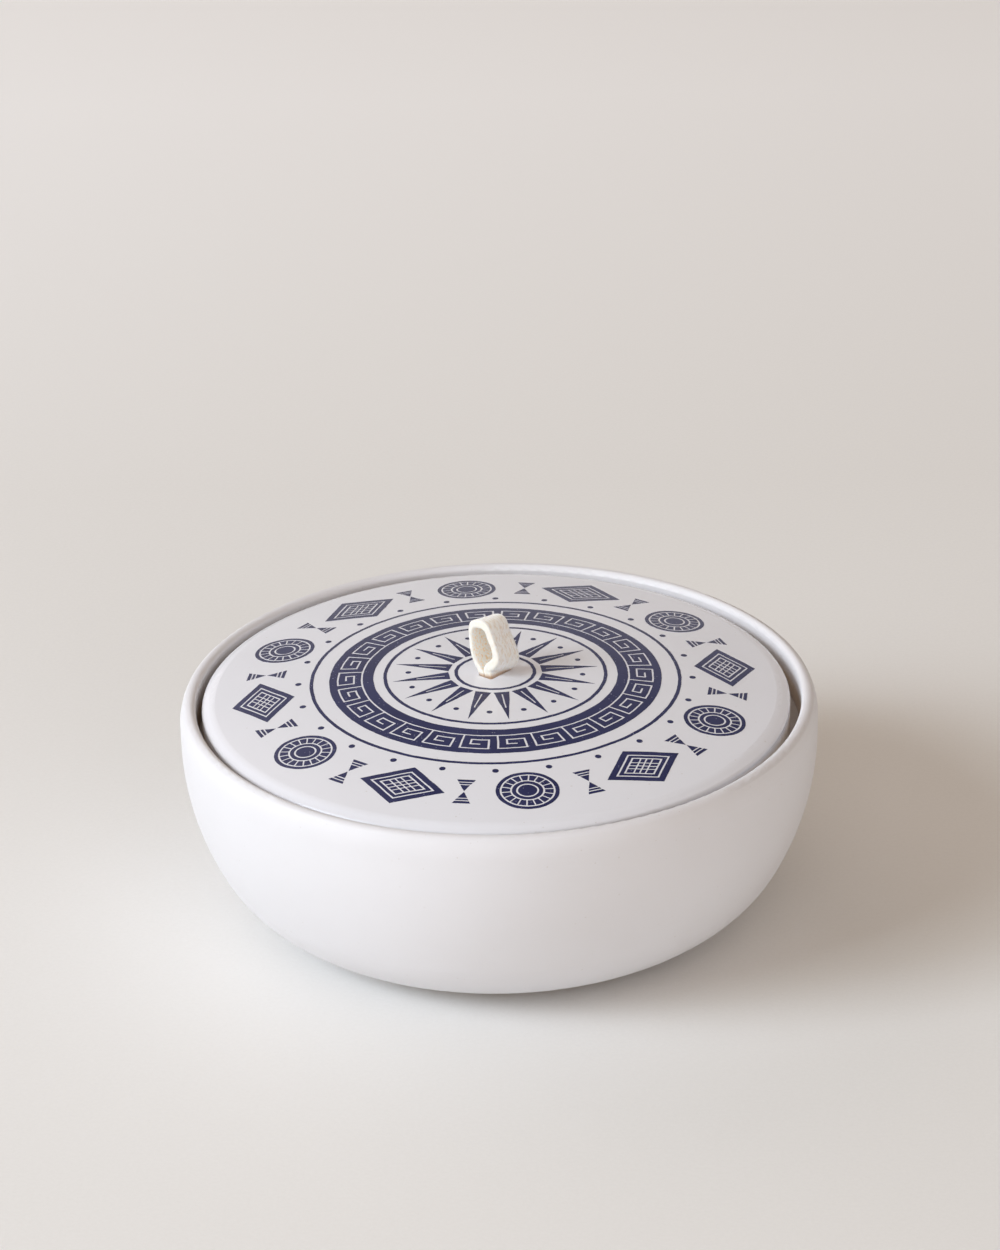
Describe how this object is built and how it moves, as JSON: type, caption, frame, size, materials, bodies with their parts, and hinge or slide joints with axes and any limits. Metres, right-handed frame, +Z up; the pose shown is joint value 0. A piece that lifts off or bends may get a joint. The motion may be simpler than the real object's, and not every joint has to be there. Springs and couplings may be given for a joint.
{
  "type": "round lidded ceramic box",
  "caption": "Low round ceramic box with a swelling wall, a shallow domed lid lying inside its mouth and a folded leather pull loop.",
  "frame": {"origin": "centre of the foot ring's underside, on the surface that the box stands on", "axes": "+Z up along the bowl's axis, +X to the right and +Y to the back as the box is seen from its front"},
  "size_m": [0.18, 0.18, 0.0867],
  "materials": {
    "matte_body": "matte unglazed white",
    "printed_lid": "satin white glaze with a dark blue ornament",
    "strap_leather": "pale undyed leather",
    "rivet_metal": "satin"
  },
  "bodies": {
    "bowl_body": {"bowl": "matte_body"},
    "lid_body": {"lid": "printed_lid", "pull_strap": "strap_leather", "rivet_post": "rivet_metal", "rivet_cap": "rivet_metal"}
  },
  "joints": [
    {"name": "lid_lift", "type": "slide", "parent": "bowl_body", "child": "lid_body", "axis": [0, 0, 1], "range_m": [0, 0.08]}
  ]
}
